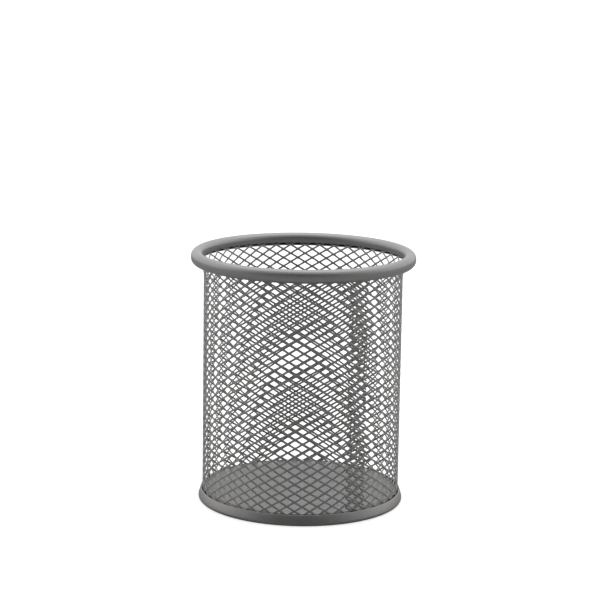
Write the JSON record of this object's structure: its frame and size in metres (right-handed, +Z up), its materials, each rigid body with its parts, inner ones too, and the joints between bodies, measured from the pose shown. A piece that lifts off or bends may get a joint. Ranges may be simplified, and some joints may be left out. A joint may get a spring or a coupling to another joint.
{
  "type": "pen holder cup",
  "caption": "Round open-top pen cup with a flared diamond mesh wall, a rolled tube rim and a pressed sheet base with a folded skirt.",
  "frame": {"origin": "centre of the foot, on the table that the cup stands on", "axes": "+Z up along the cup's axis; -Y towards the side with the welded seam, which lies 36 degrees from -Y towards +X"},
  "size_m": [0.0904, 0.0904, 0.1026],
  "materials": {
    "rim_coat": "matte powder coat",
    "mesh_coat": "matte powder coat",
    "base_coat": "matte powder coat"
  },
  "bodies": {
    "root": {"rim_ring": "rim_coat", "mesh_wall": "mesh_coat", "base_plate": "base_coat"}
  },
  "joints": []
}
